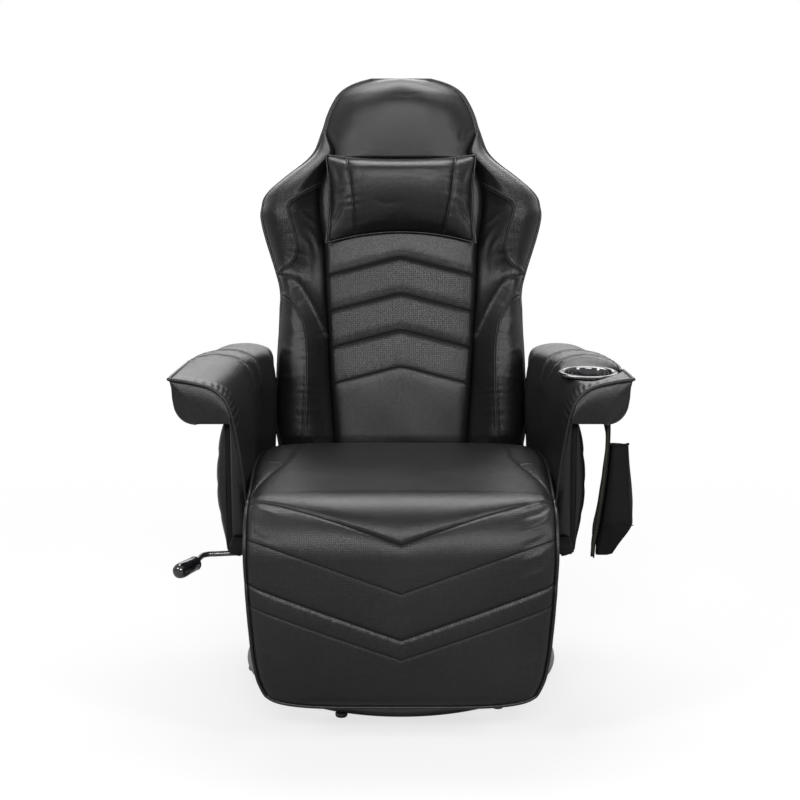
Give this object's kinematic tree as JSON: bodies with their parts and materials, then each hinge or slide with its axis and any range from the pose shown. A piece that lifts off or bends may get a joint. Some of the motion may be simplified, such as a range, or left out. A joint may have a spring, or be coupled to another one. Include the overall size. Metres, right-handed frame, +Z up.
{
  "type": "gaming recliner",
  "caption": "Padded recliner with a winged high back, head pillow, rolled arms, cup holder, side pouch, swing-up leg rest and a swivelling round tube base",
  "frame": {"origin": "centre of the footprint on the floor", "axes": "+Z up, -Y is the way the sitter faces, +X is the sitter's left"},
  "size_m": [0.8132, 0.7972, 1.1109],
  "materials": {
    "black_leather": "smooth synthetic leather, lightly grained, satin",
    "coated_steel": "black powder coat",
    "zinc_steel": "zinc plated",
    "lever_steel": "glossy black on steel",
    "black_plastic": "moulded, fine grain",
    "gloss_plastic": "polished moulded plastic",
    "plywood": "bare plywood",
    "pouch_fabric": "woven polyester"
  },
  "bodies": {
    "base": {"base_ring": "coated_steel", "base_cross": "coated_steel", "base_column": "coated_steel", "swivel_bush": "black_plastic", "glide_1": "black_plastic", "glide_2": "black_plastic", "glide_3": "black_plastic", "glide_4": "black_plastic", "glide_5": "black_plastic", "glide_6": "black_plastic"},
    "seat": {"swivel_spindle": "zinc_steel", "swivel_plate": "coated_steel", "cross_member_front": "coated_steel", "cross_member_rear": "coated_steel", "side_plate_left": "coated_steel", "side_plate_right": "coated_steel", "recline_pin_left": "zinc_steel", "recline_pin_right": "zinc_steel", "knee_pin_left": "zinc_steel", "knee_pin_right": "zinc_steel", "lever_bush": "black_plastic", "seat_board": "plywood", "seat_cushion": "black_leather", "arm_frame_left": "plywood", "arm_frame_right": "plywood", "arm_pad_left": "black_leather", "arm_pad_right": "black_leather", "side_panel_left": "black_leather", "side_panel_right": "black_leather", "cup_holder": "gloss_plastic"},
    "back": {"back_frame": "coated_steel", "back_bracket_left": "coated_steel", "back_bracket_right": "coated_steel", "back_board": "plywood", "back_cover": "black_leather", "back_center_pad": "black_leather", "back_wing_left": "black_leather", "back_wing_right": "black_leather", "headrest_pad": "black_leather", "head_pillow": "black_leather"},
    "leg_rest": {"leg_rest_board": "plywood", "leg_rest_pad": "black_leather", "knee_pad": "black_leather", "leg_arm_left": "coated_steel", "leg_arm_right": "coated_steel"},
    "drive": {"drive_bar_left": "zinc_steel", "drive_bar_right": "zinc_steel", "drive_cross_tube": "coated_steel"},
    "lever": {"lever_rod": "lever_steel", "lever_grip": "gloss_plastic", "lock_cam": "zinc_steel"},
    "pouch": {"pouch_flap": "pouch_fabric", "pouch_bag": "pouch_fabric"}
  },
  "joints": [
    {"name": "swivel", "type": "hinge", "parent": "base", "child": "seat", "pos_m": [-0.00601, 0.01138, 0.262], "axis": [0, 0, 1], "continuous": true},
    {"name": "recline", "type": "hinge", "parent": "seat", "child": "back", "pos_m": [-0.00601, 0.17638, 0.37], "axis": [-1, 0, 0], "range_deg": [0, 30]},
    {"name": "leg_rest_swing", "type": "hinge", "parent": "seat", "child": "leg_rest", "pos_m": [-0.00601, -0.34529, 0.37667], "axis": [-1, 0, 0], "range_deg": [0, 80], "deforming": ["knee_pad"]},
    {"name": "drive_slide", "type": "slide", "parent": "seat", "child": "drive", "axis": [0, -1, 0], "range_m": [0, 0.0643]},
    {"name": "lever_lift", "type": "hinge", "parent": "seat", "child": "lever", "pos_m": [-0.00601, -0.17862, 0.283], "axis": [-1, 0, 0], "range_deg": [0, 35], "stiffness_Nm_per_rad": 1, "springref_deg": -17.19},
    {"name": "pouch_swing", "type": "hinge", "parent": "seat", "child": "pouch", "pos_m": [0.36096, -0.14362, 0.53276], "axis": [0, -1, 0], "range_deg": [0, 35]}
  ],
  "couplings": [
    {"joint": "leg_rest_swing", "follows": "recline", "ratio": 2.6666},
    {"joint": "drive_slide", "follows": "recline", "m_per_rad": 0.12279}
  ]
}
